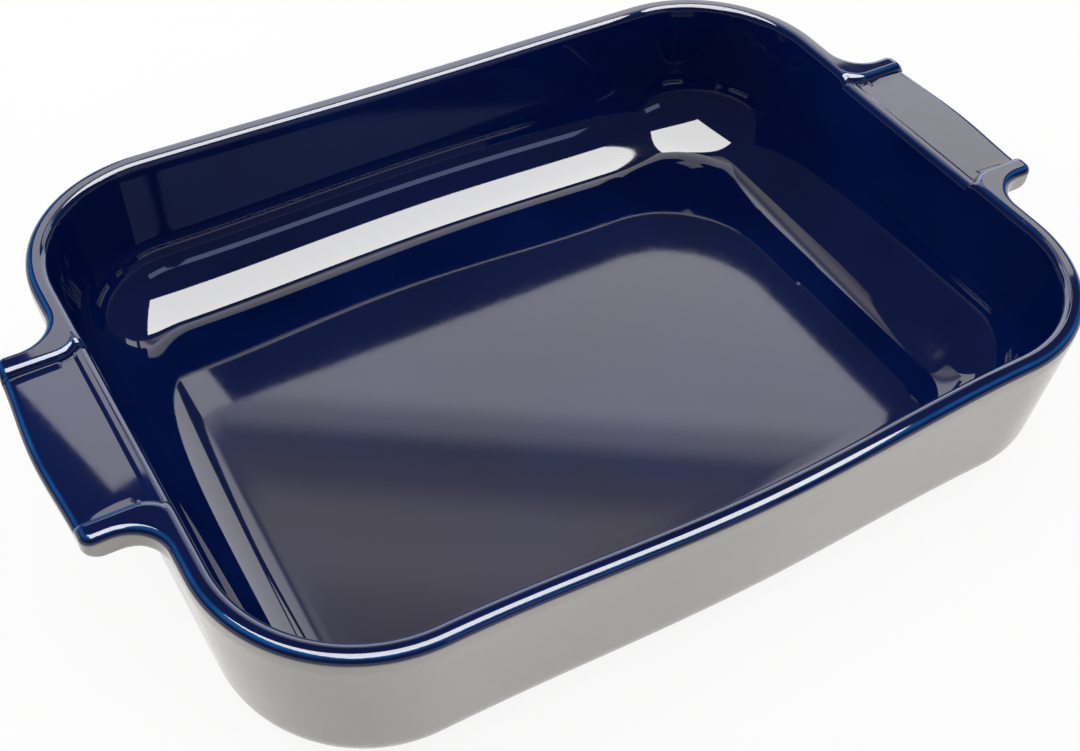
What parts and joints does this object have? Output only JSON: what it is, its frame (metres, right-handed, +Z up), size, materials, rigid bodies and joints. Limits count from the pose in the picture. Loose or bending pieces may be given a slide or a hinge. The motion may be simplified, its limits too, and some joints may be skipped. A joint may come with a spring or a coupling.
{
  "type": "baking dish",
  "caption": "Deep rectangular glazed stoneware baking dish with rounded corners, a thick rim and a flat plate handle between upturned ears at each end.",
  "frame": {"origin": "on the table, under the middle of the dish", "axes": "+X along the dish from the left handle to the right handle, +Y from the front long side to the back one, +Z up"},
  "size_m": [0.403, 0.267, 0.0708],
  "materials": {
    "clay": "bare fired stoneware",
    "blue_glaze": "deep blue gloss glaze",
    "grey_glaze": "pale warm grey gloss glaze"
  },
  "bodies": {
    "root": {"basin": "clay", "rim_front": "clay", "rim_back": "clay", "handle_left": "clay", "handle_right": "clay", "foot_ring": "clay", "glaze_inside": "blue_glaze", "glaze_outside": "grey_glaze"}
  },
  "joints": []
}
